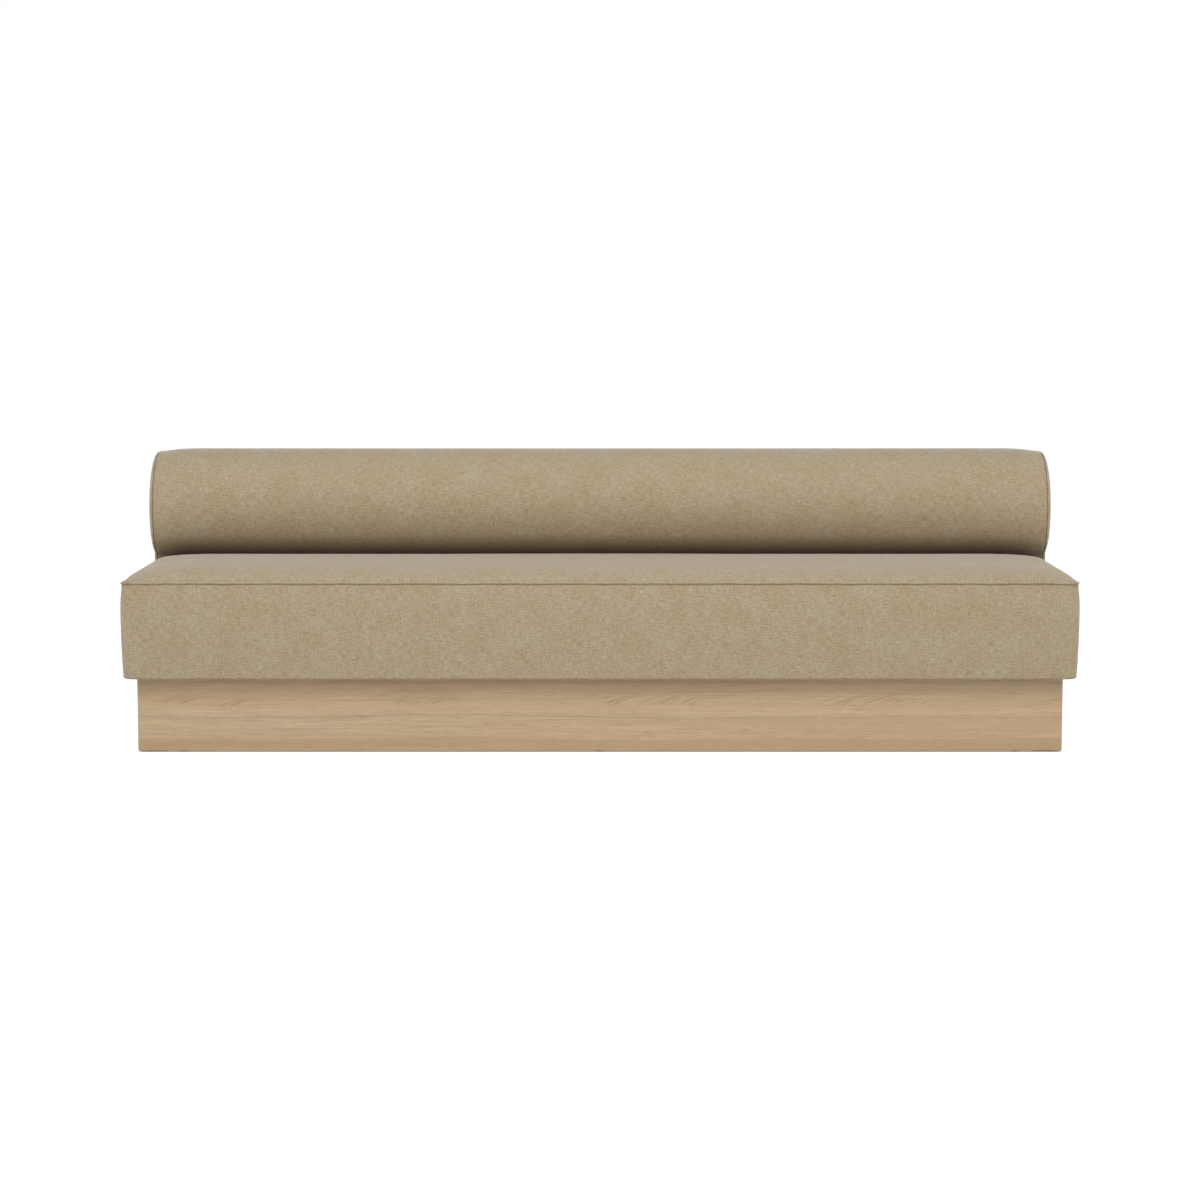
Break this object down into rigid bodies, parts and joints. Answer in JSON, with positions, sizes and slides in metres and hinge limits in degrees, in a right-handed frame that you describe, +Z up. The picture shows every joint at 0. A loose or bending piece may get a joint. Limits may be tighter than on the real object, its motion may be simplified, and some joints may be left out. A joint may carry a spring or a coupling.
{
  "type": "dining sofa",
  "caption": "Long armless dining sofa with a cushioned seat block and a bolster-roll back in woven cloth, standing on a recessed oak plinth.",
  "frame": {"origin": "on the floor under the middle of the sofa", "axes": "+X along the sofa to the right as seen from the front, +Y towards the rear, +Z up"},
  "size_m": [2.3, 0.6802, 0.7046],
  "materials": {
    "upholstery_cloth": "fine heathered weave, matte",
    "dust_cloth": "black non-woven, matte",
    "foam": "open-cell foam, matte",
    "wadding": "polyester wadding, matte",
    "webbing": "woven elastic, matte",
    "oak": "pale oak veneer, matte lacquer, grain along the panel",
    "timber": "sawn pine, raw",
    "plywood": "birch plywood, raw",
    "steel": "zinc plated",
    "nylon": "brown moulded nylon"
  },
  "bodies": {
    "root": {"plinth_front_panel": "oak", "plinth_rear_panel": "oak", "plinth_left_panel": "oak", "plinth_right_panel": "oak", "plinth_front_left_block": "timber", "plinth_front_right_block": "timber", "plinth_rear_left_block": "timber", "plinth_rear_right_block": "timber", "plinth_stretcher_left": "timber", "plinth_stretcher_middle": "timber", "plinth_stretcher_right": "timber", "front_left_glide": "nylon", "front_middle_glide": "nylon", "front_right_glide": "nylon", "rear_left_glide": "nylon", "rear_middle_glide": "nylon", "rear_right_glide": "nylon", "seat_front_rail": "timber", "seat_rear_rail": "timber", "seat_left_rail": "timber", "seat_right_rail": "timber", "seat_cross_rail_left": "timber", "seat_cross_rail_middle": "timber", "seat_cross_rail_right": "timber", "seat_webbing": "webbing", "seat_front_padding": "wadding", "seat_left_padding": "wadding", "seat_right_padding": "wadding", "seat_base_foam": "foam", "seat_comfort_foam": "foam", "seat_cover_top": "upholstery_cloth", "seat_cover_border": "upholstery_cloth", "seat_dust_cover": "dust_cloth", "back_bottom_rail": "timber", "back_top_rail": "timber", "back_left_post": "timber", "back_middle_post": "timber", "back_right_post": "timber", "back_spacer_rail": "timber", "back_front_board": "plywood", "back_rear_board": "plywood", "back_roll_foam": "foam", "back_neck_padding": "foam", "back_left_end_pad": "foam", "back_right_end_pad": "foam", "back_cover": "upholstery_cloth", "back_left_end_cover": "upholstery_cloth", "back_right_end_cover": "upholstery_cloth", "back_dust_cover": "dust_cloth", "seat_fixing_screw_left": "steel", "seat_fixing_screw_middle": "steel", "seat_fixing_screw_right": "steel", "back_fixing_screw_left": "steel", "back_fixing_screw_middle": "steel", "back_fixing_screw_right": "steel", "back_bolt_outer_left": "steel", "back_bolt_inner_left": "steel", "back_bolt_inner_right": "steel", "back_bolt_outer_right": "steel"}
  },
  "joints": []
}
